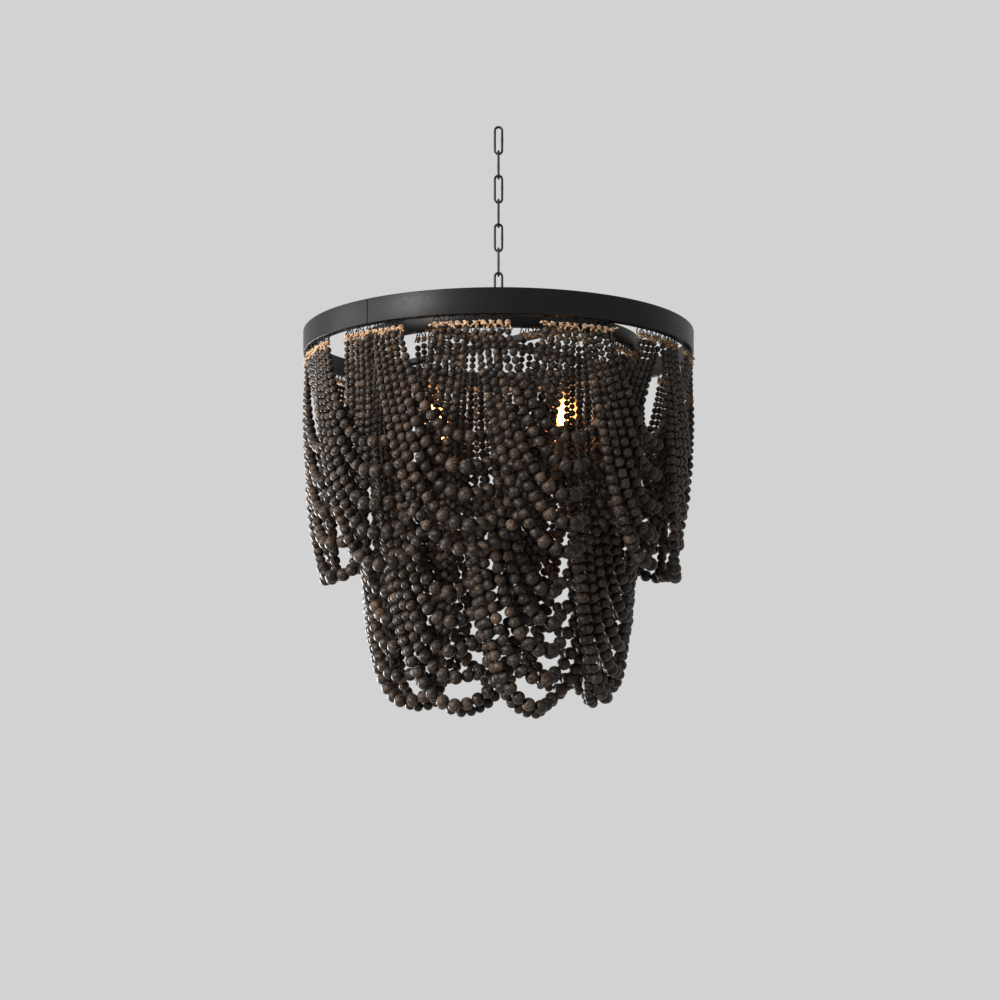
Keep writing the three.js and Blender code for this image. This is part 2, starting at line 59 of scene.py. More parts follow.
# Chain and eye
LINK_COUNT = 8
LINK_LENGTH = 42
LINK_WIDTH = 14
LINK_WIRE = 3.4
LINK_PITCH = LINK_LENGTH - 2 * LINK_WIRE - GAP
LINK_SLIMNESS = 0.985  # width over its solid's
WELD_BULGE = 0.22
TOP_LINK_Z = LINK_WIRE - LINK_LENGTH / 2
EYE_WIRE = 4
EYE_RADIUS = 11

# Hoops, arms and hub
HOOP_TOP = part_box("outer_hoop")[1][2] / MM
HOOP_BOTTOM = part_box("outer_hoop")[0][2] / MM
HOOP_RADIUS = 275
HOOP_WALL = 2.5
HOOP_LIP = 10.5
HOOP_INSET = 0.05  # from its solid's outline in to the upper hoop
EDGE_ROUNDING = 0.7
INNER_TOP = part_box("inner_hoop")[1][2] / MM
INNER_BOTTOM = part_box("inner_hoop")[0][2] / MM
INNER_RADIUS = 202
INNER_LIP = 12
SEAM_AZIMUTH = math.radians(-35)
SEAM_DEPTH = 1.9
SEAM_HALF_WIDTH = 0.0024  # in radians, as the next two
SEAM_POINTS = (0.0021, 0.0027, 0.0048)  # to either side of the seam
SEAM_ROOM = 0.006  # to either side, where no other points lie
ARM_WIDTH = 15
ARM_HEIGHT = 8
ARM_BOTTOM = HOOP_TOP - ARM_HEIGHT
ARM_END_GAP = 1.2  # to the hoop's wall
HUB_RADIUS = 23
HUB_FLAT = HUB_RADIUS * math.cos(math.pi / 16)  # its solid has 16 flats
BORE_RADIUS = 4.5  # of hub, stem and lower hub

# Swags: each hangs from the right half of one cluster to the left half of the next but one
HOOK_LENGTH = 10  # ring and knot, from the hoop down
FIRST_BEAD = 8  # from there, how far a strand hangs straight
CLUSTER_GAP = 2.4  # between the two halves of a cluster of hooks
LAYER_REACH = 10.8  # from the middle of a tier to its outer or inner layer
LAYER_SETBACK = 3
LAYER_DEPTH = 60  # below the hoop, where the layers part
LAYER_POWER = 1.5
WIDENING_DEPTH = 110  # below the hoop, where a strand reaches its full width
SLIDE_POWER = 1.5
INSET_HALF_WIDTH = 60
SIDE_AZIMUTH = 95
WAVE_REACH = 1.1
WAVE_LENGTH = 47

# What one swag or strand may differ by from the next
SWAG_SLIDE = 7
STRAND_SLIDE = 3
STRAND_LIFT = 4.5

# In each tier, "slides" says how far a swag's bottom hangs off the middle of its hooks,
# "spread" how far each level's bottom stands out from the plane through its hooks, and
# "wider" how much wider than a free chain a strand hangs where others press on it.
# "largest" is the radius of each strand's lowest beads, as far up as "largest_reach",
# and "sizes" the radius of the others, up to a share of half the strand.
UPPER = dict(
    name="upper_swag", swags=13, strands=5, hook_radius=270, first=-6.8, innermost=18.61,
    shortest=173, longest=325, side_drop=20, last_drop=0, last_inset=0,
    crossing=15, crossing_at=11, hook_z=HOOP_BOTTOM,
    slides={0: -5, 1: -4, 2: 10, 12: -7}, spread=(0, 0, 0, 0, 0),
    largest=(7.8, 8.8, 8.9, 8.9, 8.9), largest_reach=(4, 16, 25, 33, 38),
    wider=(1, 0.98, 0.97, 0.96, 0.96),
    sizes=((0.45, 7.15), (0.59, 6.1), (0.80, 5.1), (1.01, 4.15)),
)
LOWER = dict(
    name="lower_swag", swags=9, strands=6, hook_radius=197, first=-16, innermost=25,
    shortest=359, longest=505, side_drop=1, last_drop=10, last_inset=14,
    crossing=13, crossing_at=8, hook_z=INNER_BOTTOM,
    slides={0: -8, 1: -8, 2: 7, 8: 14}, spread=(6, 5, 3, 0, -4, -4),
    largest=(8.9, 8.9, 8.95, 8.95, 8.95, 7.15), largest_reach=(40, 41, 49, 57, 70, 24),
    wider=(1, 1.03, 1.08, 1.12, 1.12, 1.1),
    sizes=((0.37, 7.5), (0.50, 6.6), (0.66, 5.6), (0.82, 4.8), (1.01, 4.1)),
)

# Beads and threads
BEAD_FLATNESS = 0.955  # length along the thread over width
BEAD_SIZES = (0.965, 1.01)  # what a bead's size may differ by
BEAD_TONE = 0.065
BEAD_LEAN = 0.05
BORE_ANGLE = 0.20  # from a bead's axis to the rim of its bore
BORE_FLOOR = 0.86  # where the bore is closed, over the bead's radius
FINE_RADIUS = 5.5  # from which on a bead has the finer mesh
GRAIN_RADIUS = 9  # of a bead that shows the wood at its own scale
GRAIN_REACH = 40  # how far off the beads are cut from the wood
BORE_REACH = 0.8  # over the bead's radius, where its thread's direction is taken
KNOT_ROOM = 1.5  # between the knot and the first bead
THREAD_HEAD = 1  # how far a thread reaches up into its knot
THREAD_RADIUS = 0.55
THREAD_STEP = 6  # in points of the strand's path

# Jute knots, their two loose ends, and the wire ring and loop above them
KNOT_DEPTH = HOOK_LENGTH - 0.6  # from the hoop to the middle of the knot
KNOT_SLIDE = 0.4
KNOT_RADIUS = 2.7
KNOT_FLATNESS = 0.85
KNOT_LUMP = 0.2
WRAP_WIDTH = 2.9
WRAP_DEPTH = 2.5
WRAP_LEANS = (-0.7, 0.75)
WRAP_RADIUS = 0.8
END_LENGTHS = (5.5, 10)
END_RADII = (0.9, 2.5)  # at the knot and at the frayed end
END_SIZES = (0.75, 1.15)
END_FLATNESS = 0.5
END_STEPS = 5
END_DROOP = 0.12
END_CURL = 0.10
RING_SIZE = (9.8, 5.4)  # height and width
RING_WIRE = 0.75
RING_DEPTH = 4.1  # from the hoop to its middle
RING_STEP = 0.7  # outwards and inwards by turns
RING_LEAN = 0.55
RING_BOW = 0.8
LOOP_SIZE = (5.2, 3.6)
LOOP_WIRE = 0.45
LOOP_RISE = 2.4  # above the middle of the knot

# Lamps
LAMP_RADIUS = 126
LAMP_AZIMUTHS = [math.radians(45 + 90 * k) for k in range(4)]
STEM_RADIUS = 6.4
STEM_COLLAR_RADIUS = 8.4
LAMP_HUB_RADIUS = 17.5
LAMP_HUB_FACE = 11  # radius of its flat top and bottom
LAMP_HUB_SLOPE = 5.5
CANDLE_ROOT = 17.2  # where an arm leaves the lower hub
CANDLE_TUBE_RADIUS = 4.9
CANDLE_BEND_RADIUS = 26
CUP_HEIGHT = 8
CUP_RECESS = 3
SLEEVE_RADIUS = 12.6
SLEEVE_BORE_RADIUS = 8
SLEEVE_BORE_DEPTH = 28
SLEEVE_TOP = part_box("candle_sleeve_1")[1][2] / MM
SLEEVE_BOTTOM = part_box("candle_sleeve_1")[0][2] / MM
BULB_RADIUS = 17.5
BULB_LENGTH = 70
BULB_BASE_RADIUS = 6.7
BULB_BASE_LENGTH = 23
BULB_FLAME = (  # shares of its length and radius
    (0.0, 0.40), (0.03, 0.56), (0.10, 0.78), (0.20, 0.94), (0.30, 1.0), (0.42, 0.97),
    (0.55, 0.84), (0.68, 0.65), (0.80, 0.44), (0.90, 0.25), (0.97, 0.09), (1.0, 0.0),
)
GLOW_FADE = (0.12, 0.55)  # shares of its length between which the glow fades
LAMP_HUB_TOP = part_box("lamp_hub")[1][2] / MM
LAMP_HUB_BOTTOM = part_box("lamp_hub")[0][2] / MM

# Camera, from the photograph: 1.375 m from the axis, 307 mm below the upper hoop's top
CAMERA_DISTANCE = 1375
CAMERA_DROP = 307
FOCAL_SHARE = 0.957  # focal length over picture width
HORIZON_SHARE = 0.054  # how far the horizon lies below the picture's middle
AXIS_SHARE = -0.0015  # how far the axis lies right of it
SENSOR_WIDTH = 36

# Studio. Each light has a place and a size in metres and a power in watts.
LIGHTS = {
    "key": ((-2.05, -2.0, 0.45), (1.0, 1.0), 82),
    "side": ((-2.75, -0.55, 0.1), (2.2, 1.4), 42),
    "fill": ((2.4, -1.8, -0.4), (1.6, 1.6), 2.2),
    "rim_left": ((-2.0, 1.7, -1.3), (1.5, 1.0), 95),
}
LIGHTS_AIM = (0, 0, -0.58)
WORLD_LIGHT = 0.015
BACKGROUND = (0.645, 0.645, 0.645, 1)
FLOOR_REACH = 9000
FLOOR_LEVEL = -2300


# ---------------------------------------------------------------------------
# Meshes


def mesh_object(name, verts, quads, tris=None, material=None, smooth=True):
    """An object from points in millimetres and index arrays."""
    verts = np.asarray(verts, dtype=np.float64) * MM
    quads = np.asarray(quads, dtype=np.int32).reshape(-1, 4)
    tris = np.zeros((0, 3), np.int32) if tris is None else np.asarray(tris, np.int32).reshape(-1, 3)
    mesh = bpy.data.meshes.new(name)
    mesh.vertices.add(len(verts))
    mesh.vertices.foreach_set("co", verts.astype(np.float32).ravel())
    loops = np.concatenate([quads.ravel(), tris.ravel()])
    mesh.loops.add(len(loops))
    mesh.loops.foreach_set("vertex_index", loops)
    starts = np.concatenate([np.arange(len(quads)) * 4, len(quads) * 4 + np.arange(len(tris)) * 3])
    mesh.polygons.add(len(starts))
    mesh.polygons.foreach_set("loop_start", starts.astype(np.int32))
    mesh.polygons.foreach_set("use_smooth", np.full(len(starts), smooth))
    mesh.update(calc_edges=True)
    mesh.validate()
    if material is not None:
        mesh.materials.append(material)
    piece = bpy.data.objects.new(name, mesh)
    bpy.context.collection.objects.link(piece)
    return piece


def place(piece, body, slot, *nodes):
    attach(piece, body)
    if nodes:
        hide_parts(*nodes)


def even_turns(count):
    return np.arange(count) * TURN / count


def grid_quads(rings, sides, closed_rings=False, closed_sides=True):
    """Quads between successive rings of points."""
    last = rings if closed_rings else rings - 1
    wide = sides if closed_sides else sides - 1
    ring, side = np.meshgrid(np.arange(last), np.arange(wide), indexing="ij")
    here = ring * sides
    there = ((ring + 1) % rings) * sides
    nxt = (side + 1) % sides
    return np.stack([here + side, here + nxt, there + nxt, there + side], axis=-1).reshape(-1, 4)


def fan(first, sides, tip, flip=False):
    """Triangles from a ring to its tip."""
    side = np.arange(sides)
    nxt = (side + 1) % sides
    tris = np.stack([first + side, first + nxt, np.full(sides, tip)], axis=-1)
    return tris[:, ::-1] if flip else tris


def caps(rings, sides):
    """Triangles from the first and the last ring to the two points that follow all rings."""
    return np.concatenate([
        fan(0, sides, rings * sides, flip=True),
        fan((rings - 1) * sides, sides, rings * sides + 1),
    ])


def joined(parts):
    """One set of arrays from several (verts, quads, tris)."""
    verts, quads, tris = [], [], []
    base = 0
    for v, q, t in parts:
        verts.append(v)
        quads.append(np.asarray(q, np.int32).reshape(-1, 4) + base)
        tris.append(np.asarray(t, np.int32).reshape(-1, 3) + base)
        base += len(v)
    return np.concatenate(verts), np.concatenate(quads), np.concatenate(tris)


def revolve(profile, segments=96, at=(0, 0), azimuths=None):
    """A turned solid or ring from (radius, z) points, closed round the axis."""
    profile = np.asarray(profile, float)
    turns = np.linspace(0, TURN, segments, endpoint=False) if azimuths is None else azimuths
    closed = profile[0][0] > 0 and profile[-1][0] > 0
    ring = np.stack([
        np.outer(np.sin(turns), profile[:, 0]) + at[0],
        -np.outer(np.cos(turns), profile[:, 0]) + at[1],
        np.repeat(profile[None, :, 1], len(turns), axis=0),
    ], axis=-1)
    sides = len(profile)
    quads = grid_quads(len(turns), sides, closed_rings=True, closed_sides=closed)
    return ring.reshape(-1, 3), quads, np.zeros((0, 3), int)


def rounded(points, radius, steps=3, closed=True):
    """A profile whose corners are rounded by short arcs."""
    out = []
    count = len(points)
    for i, point in enumerate(points):
        point = np.array(point, float)
        if not closed and i in (0, count - 1):
            out.append(point)
            continue
        before = np.array(points[i - 1], float)
        after = np.array(points[(i + 1) % count], float)
        to_before = (before - point) / np.linalg.norm(before - point)
        to_after = (after - point) / np.linalg.norm(after - point)
        reach = min(radius, np.linalg.norm(before - point) / 2, np.linalg.norm(after - point) / 2)
        start, end = point + to_before * reach, point + to_after * reach
        for k in range(steps + 1):
            t = k / steps
            out.append((1 - t) ** 2 * start + 2 * t * (1 - t) * point + t ** 2 * end)
    return np.array(out)


def tube(path, radii, sides=10, closed=False, squash=1.0):
    """A round tube along points, with end caps if it isn't closed."""
    path = np.asarray(path, float)
    count = len(path)
    radii = np.broadcast_to(np.asarray(radii, float), (count,))
    if closed:
        along = np.roll(path, -1, axis=0) - np.roll(path, 1, axis=0)
    else:
        along = np.gradient(path, axis=0)
    along /= np.linalg.norm(along, axis=1, keepdims=True)
    up = np.array([0.0, 0.0, 1.0])
    if abs(along[0] @ up) > 0.9:
        up = np.array([0.0, 1.0, 0.0])
    across = np.cross(along[0], up)
    across /= np.linalg.norm(across)
    frames = []
    for i in range(count):
        across = across - along[i] * (across @ along[i])
        across /= np.linalg.norm(across)
        frames.append((across.copy(), np.cross(along[i], across)))
    turn = even_turns(sides)
    rings = np.stack([
        path[i] + radii[i] * (np.outer(np.cos(turn), frames[i][0])
                              + squash * np.outer(np.sin(turn), frames[i][1]))
        for i in range(count)
    ])
    verts = rings.reshape(-1, 3)
    quads = grid_quads(count, sides, closed_rings=closed)
    if closed:
        return verts, quads, np.zeros((0, 3), int)
    return np.concatenate([verts, path[:1], path[-1:]]), quads, caps(count, sides)


def bevelled_box(low, high, bevel):
    """A box along the axes with chamfered edges."""
    low, high = np.asarray(low, float), np.asarray(high, float)
    inner_low, inner_high = low + bevel, high - bevel
    points, keys = [], {}
    for sx in (0, 1):
        for sy in (0, 1):
            for sz in (0, 1):
                corner = np.where([sx, sy, sz], inner_high, inner_low)
                face = np.where([sx, sy, sz], high, low)
                for axis in range(3):
                    point = corner.copy()
                    point[axis] = face[axis]
                    keys[(sx, sy, sz, axis)] = len(points)
                    points.append(point)
    quads, tris = [], []
    for axis in range(3):
        a, b = [k for k in range(3) if k != axis]
        for side in (0, 1):
            loop = []
            for ka, kb in ((0, 0), (1, 0), (1, 1), (0, 1)):
                corner = [0, 0, 0]
                corner[axis], corner[a], corner[b] = side, ka, kb
                loop.append(keys[(*corner, axis)])
            quads.append(loop)
        for ka in (0, 1):
            for kb in (0, 1):
                ends = []
                for k in (0, 1):
                    corner = [0, 0, 0]
                    corner[axis], corner[a], corner[b] = k, ka, kb
                    ends.append((keys[(*corner, a)], keys[(*corner, b)]))
                quads.append([ends[0][0], ends[0][1], ends[1][1], ends[1][0]])
    for sx in (0, 1):
        for sy in (0, 1):
            for sz in (0, 1):
                tris.append([keys[(sx, sy, sz, axis)] for axis in range(3)])
    return np.array(points), np.array(quads), np.array(tris)


def outward(piece):
    """Turns every face of a closed mesh outward."""
    work = bmesh.new()
    work.from_mesh(piece.data)
    bmesh.ops.recalc_face_normals(work, faces=work.faces)
    work.to_mesh(piece.data)
    work.free()


# ---------------------------------------------------------------------------
# Materials


def new_material(name):
    material = bpy.data.materials.new(name)
    material.use_nodes = True
    tree = material.node_tree
    return material, tree.nodes, tree.links, tree.nodes["Principled BSDF"]


def add(nodes, kind, **values):
    """A node with some of its properties or inputs set; "_" stands for a space in an input."""
    node = nodes.new(kind)
    for key, value in values.items():
        if hasattr(node, key):
            setattr(node, key, value)
        else:
            node.inputs[key.replace("_", " ")].default_value = value
    return node


def ramp(nodes, *stops):
    node = nodes.new("ShaderNodeValToRGB")
    elements = node.color_ramp.elements
    while len(elements) < len(stops):
        elements.new(0.5)
    for element, (position, colour) in zip(elements, stops):
        element.position = position
        element.color = (*colour, 1)
    return node


def multiply_add(nodes, links, value, factor, addend):
    node = add(nodes, "ShaderNodeMath", operation="MULTIPLY_ADD")
    links.new(value, node.inputs[0])
    node.inputs[1].default_value = factor
    links.new(addend, node.inputs[2])
    return node.outputs[0]


def set_roughness(nodes, links, shader, value, low, high):
    """Roughness that follows a texture between two limits."""
    spread = add(nodes, "ShaderNodeMapRange", To_Min=low, To_Max=high)
    links.new(value, spread.inputs["Value"])
    links.new(spread.outputs["Result"], shader.inputs["Roughness"])


def set_bump(nodes, links, shader, height, strength, distance):
    bump = add(nodes, "ShaderNodeBump", Strength=strength, Distance=distance)
    links.new(height, bump.inputs["Height"])
    links.new(bump.outputs["Normal"], shader.inputs["Normal"])


def bead_material():
    """Dark stained wood, each bead with its own grain and tone, and lighter brown patches that are
    partly wear and partly a painted highlight.
    """
    material, nodes, links, shader = new_material("stained_beads")
    co = add(nodes, "ShaderNodeAttribute", attribute_name="bead_co")
    tone = add(nodes, "ShaderNodeAttribute", attribute_name="bead_tone")

    stretch = nodes.new("ShaderNodeMapping")
    stretch.inputs["Scale"].default_value = (1.0, 1.0, 0.16)
    links.new(co.outputs["Vector"], stretch.inputs["Vector"])
    grain = add(nodes, "ShaderNodeTexNoise", Scale=5.5, Detail=5.0, Roughness=0.62, Distortion=0.35)
    links.new(stretch.outputs["Vector"], grain.inputs["Vector"])
    rings = add(nodes, "ShaderNodeTexWave", Scale=1.1, Distortion=6.0, Detail=2.0)
    rings.inputs["Detail Scale"].default_value = 1.6
    links.new(stretch.outputs["Vector"], rings.inputs["Vector"])
    patches = add(nodes, "ShaderNodeTexNoise", Scale=1.5, Detail=2.0)
    links.new(co.outputs["Vector"], patches.inputs["Vector"])

    streaks = multiply_add(nodes, links, rings.outputs["Fac"], 0.13, grain.outputs["Fac"])
    shaded = add(nodes, "ShaderNodeMath", operation="ADD")
    links.new(streaks, shaded.inputs[0])
    links.new(tone.outputs["Fac"], shaded.inputs[1])

    colours = ramp(
        nodes,
        (0.30, (0.0060, 0.0053, 0.0049)),
        (0.54, (0.0215, 0.0176, 0.0150)),
        (0.71, (0.082, 0.060, 0.045)),
        (0.86, (0.28, 0.170, 0.104)),
    )
    links.new(shaded.outputs[0], colours.inputs["Fac"])

    # Lighter brown patches at random on each bead: partly wear, partly a painted brown highlight
    wear_and_highlight = add(nodes, "ShaderNodeMix", data_type="RGBA", blend_type="MIX")
    wear_and_highlight_mask = ramp(nodes, (0.52, (0, 0, 0)), (0.74, (0.68, 0.68, 0.68)))
    links.new(patches.outputs["Fac"], wear_and_highlight_mask.inputs["Fac"])
    links.new(wear_and_highlight_mask.outputs["Color"], wear_and_highlight.inputs["Factor"])
    links.new(colours.outputs["Color"], wear_and_highlight.inputs["A"])
    wear_and_highlight.inputs["B"].default_value = (0.200, 0.125, 0.078, 1)
    links.new(wear_and_highlight.outputs["Result"], shader.inputs["Base Color"])

    set_roughness(nodes, links, shader, grain.outputs["Fac"], 0.31, 0.46)
    set_bump(nodes, links, shader, streaks, strength=0.35, distance=0.0004)
    shader.inputs["Specular IOR Level"].default_value = 0.2
    return material


def metal_material(
    name, colour, rough, speckle=0.25, scale=260.0, metallic=0.0, wear=None, specular=0.3
):
    """Paint, plated or bare metal with a cloudy tone and a fine speckle."""
    material, nodes, links, shader = new_material(name)
    place_co = nodes.new("ShaderNodeTexCoord")
    cloud = add(nodes, "ShaderNodeTexNoise", Scale=9.0, Detail=4.0, Roughness=0.6)
    links.new(place_co.outputs["Object"], cloud.inputs["Vector"])
    fine = add(nodes, "ShaderNodeTexNoise", Scale=scale, Detail=3.0, Roughness=0.6)
    links.new(place_co.outputs["Object"], fine.inputs["Vector"])
    blend = multiply_add(nodes, links, fine.outputs["Fac"], speckle, cloud.outputs["Fac"])
    dark = tuple(c * 0.72 for c in colour)
    light = wear if wear else tuple(min(c * 1.45, 1) for c in colour)
    colours = ramp(nodes, (0.38, dark), (0.62, colour), (0.92, light))
    links.new(blend, colours.inputs["Fac"])
    links.new(colours.outputs["Color"], shader.inputs["Base Color"])
    shader.inputs["Metallic"].default_value = metallic
    shader.inputs["Specular IOR Level"].default_value = specular
    set_roughness(nodes, links, shader, fine.outputs["Fac"], rough - 0.08, rough + 0.1)
    set_bump(nodes, links, shader, fine.outputs["Fac"], strength=0.12, distance=0.0003)
    return material


def jute_material():
    material, nodes, links, shader = new_material("jute")
    place_co = nodes.new("ShaderNodeTexCoord")
    fibre = add(
        nodes, "ShaderNodeTexWave", bands_direction="DIAGONAL", Scale=420.0, Distortion=5.0, Detail=3.0
    )
    links.new(place_co.outputs["Object"], fibre.inputs["Vector"])
    cloud = add(nodes, "ShaderNodeTexNoise", Scale=140.0, Detail=4.0)
    links.new(place_co.outputs["Object"], cloud.inputs["Vector"])
    mixed = multiply_add(nodes, links, fibre.outputs["Fac"], 0.35, cloud.outputs["Fac"])
    colours = ramp(
        nodes,
        (0.3, (0.42, 0.23, 0.12)),
        (0.6, (0.74, 0.46, 0.26)),
        (0.95, (0.88, 0.66, 0.44)),
    )
    links.new(mixed, colours.inputs["Fac"])
    links.new(colours.outputs["Color"], shader.inputs["Base Color"])
    shader.inputs["Roughness"].default_value = 0.85
    set_bump(nodes, links, shader, fibre.outputs["Fac"], strength=0.6, distance=0.0005)
    return material


def bulb_material():
    """A glow that is strongest in the middle of the glass and fades towards its tip."""
    material, nodes, links, shader = new_material("bulb_glow")
    edge = add(nodes, "ShaderNodeLayerWeight", Blend=0.45)
    glow = ramp(
        nodes,
        (0.0, (1.0, 0.44, 0.12)),
        (0.35, (0.6, 0.21, 0.04)),
        (0.65, (0.09, 0.026, 0.004)),
    )
    links.new(edge.outputs["Facing"], glow.inputs["Fac"])
    place_co = nodes.new("ShaderNodeTexCoord")
    height = nodes.new("ShaderNodeSeparateXYZ")
    links.new(place_co.outputs["Object"], height.inputs["Vector"])
    low, high = [(SLEEVE_TOP + BULB_LENGTH * share) * MM for share in GLOW_FADE]
    rise = add(nodes, "ShaderNodeMapRange", From_Min=low, From_Max=high, To_Min=1.0, To_Max=0.05)
    links.new(height.outputs["Z"], rise.inputs["Value"])
    hot = add(nodes, "ShaderNodeVectorMath", operation="SCALE")
    links.new(glow.outputs["Color"], hot.inputs[0])
    links.new(rise.outputs["Result"], hot.inputs["Scale"])
    links.new(hot.outputs["Vector"], shader.inputs["Emission Color"])
    shader.inputs["Emission Strength"].default_value = 22.0
    shader.inputs["Base Color"].default_value = (1.0, 0.78, 0.5, 1)
    shader.inputs["Roughness"].default_value = 0.25
    return material


BEADS = bead_material()
FRAME_PAINT = metal_material("gunmetal_paint", (0.0115, 0.0106, 0.0108), 0.36, specular=0.15)
CHAIN_STEEL = metal_material(
    "black_chain_steel", (0.012, 0.011, 0.0105), 0.34, wear=(0.04, 0.036, 0.032)
)
HOOK_WIRE = metal_material("dark_hook_wire", (0.010, 0.009, 0.0085), 0.45, specular=0.2)
SLEEVE = metal_material("candle_sleeve_brown", (0.060, 0.042, 0.030), 0.6, speckle=0.5, scale=120.0)
BRASS = metal_material("bulb_base_brass", (0.52, 0.36, 0.16), 0.35, metallic=1.0)
GLAND = metal_material("gland_black", (0.022, 0.022, 0.022), 0.55)
JUTE = jute_material()
BULB = bulb_material()


# ---------------------------------------------------------------------------
# Camera, lights, floor


def add_camera():
    data = bpy.data.cameras.new("camera")
    data.sensor_width = SENSOR_WIDTH
    data.lens = SENSOR_WIDTH * FOCAL_SHARE
    data.clip_start = 0.01
    data.shift_x = -AXIS_SHARE
    data.shift_y = HORIZON_SHARE
    camera = bpy.data.objects.new("camera", data)
    bpy.context.collection.objects.link(camera)
    camera.location = (0, -CAMERA_DISTANCE * MM, (HOOP_TOP - CAMERA_DROP) * MM)
    camera.rotation_euler = (math.pi / 2, 0, 0)
    bpy.context.scene.camera = camera


def add_area(name, location, size, power):
    data = bpy.data.lights.new(name, "AREA")
    data.shape = "RECTANGLE"
    data.size, data.size_y = size
    data.energy = power
    light = bpy.data.objects.new(name, data)
    bpy.context.collection.objects.link(light)
    light.location = location
    aim = Vector(LIGHTS_AIM) - Vector(location)
    light.rotation_euler = aim.to_track_quat("-Z", "Y").to_euler()


def seen_rays(nodes, links):
    """One for rays that show the background: the camera's, mirrored and passing through."""
    path = nodes.new("ShaderNodeLightPath")
    level = path.outputs["Is Camera Ray"]
    for kind in ("Is Transmission Ray", "Is Glossy Ray"):
        either = add(nodes, "ShaderNodeMath", operation="MAXIMUM")
        links.new(level, either.inputs[0])
        links.new(path.outputs[kind], either.inputs[1])
        level = either.outputs[0]
    return level


def add_world():
    world = bpy.data.worlds.new("studio")
    bpy.context.scene.world = world
    world.use_nodes = True
    nodes, links = world.node_tree.nodes, world.node_tree.links
    nodes.clear()
    out = nodes.new("ShaderNodeOutputWorld")
    seen = seen_rays(nodes, links)
    lit = add(nodes, "ShaderNodeBackground", Color=(1, 1, 1, 1), Strength=WORLD_LIGHT)
    plain = add(nodes, "ShaderNodeBackground", Color=BACKGROUND, Strength=1.0)
    mix = nodes.new("ShaderNodeMixShader")
    links.new(seen, mix.inputs["Fac"])
    links.new(lit.outputs[0], mix.inputs[1])
    links.new(plain.outputs[0], mix.inputs[2])
    links.new(mix.outputs[0], out.inputs["Surface"])


def add_floor():
    corners = ((-1, -1), (1, -1), (1, 1), (-1, 1))
    verts = [(x * FLOOR_REACH, y * FLOOR_REACH, FLOOR_LEVEL) for x, y in corners]
    material = bpy.data.materials.new("pale_floor")
    material.use_nodes = True
    nodes, links = material.node_tree.nodes, material.node_tree.links
    shader = nodes["Principled BSDF"]
    shader.inputs["Base Color"].default_value = (0.62, 0.62, 0.62, 1)
    shader.inputs["Roughness"].default_value = 0.9
    glow = add(nodes, "ShaderNodeEmission", Color=BACKGROUND, Strength=1.0)
    mix = nodes.new("ShaderNodeMixShader")
    links.new(seen_rays(nodes, links), mix.inputs["Fac"])
    links.new(shader.outputs[0], mix.inputs[1])
    links.new(glow.outputs[0], mix.inputs[2])
    links.new(mix.outputs[0], nodes["Material Output"].inputs["Surface"])
    floor = mesh_object("floor", verts, [[0, 1, 2, 3]], material=material, smooth=False)


bpy.context.scene.view_settings.view_transform = "Standard"
add_camera()
add_world()
add_floor()
for name, light in LIGHTS.items():
    add_area(name, *light)


# ---------------------------------------------------------------------------
# Bead strands


def hanging_curve(half_width, drop, steps=240):
    """x and height from the bottom of half a strand, which hangs as a chain does."""
    low, high = half_width / 20, half_width * 20
    for _ in range(60):
        constant = (low + high) / 2
        if constant * (math.cosh(half_width / constant) - 1) > drop:
            low = constant
        else:
            high = constant
    across = half_width * np.sin(np.linspace(0, math.pi / 2, steps))
    return across, constant * (np.cosh(across / constant) - 1)


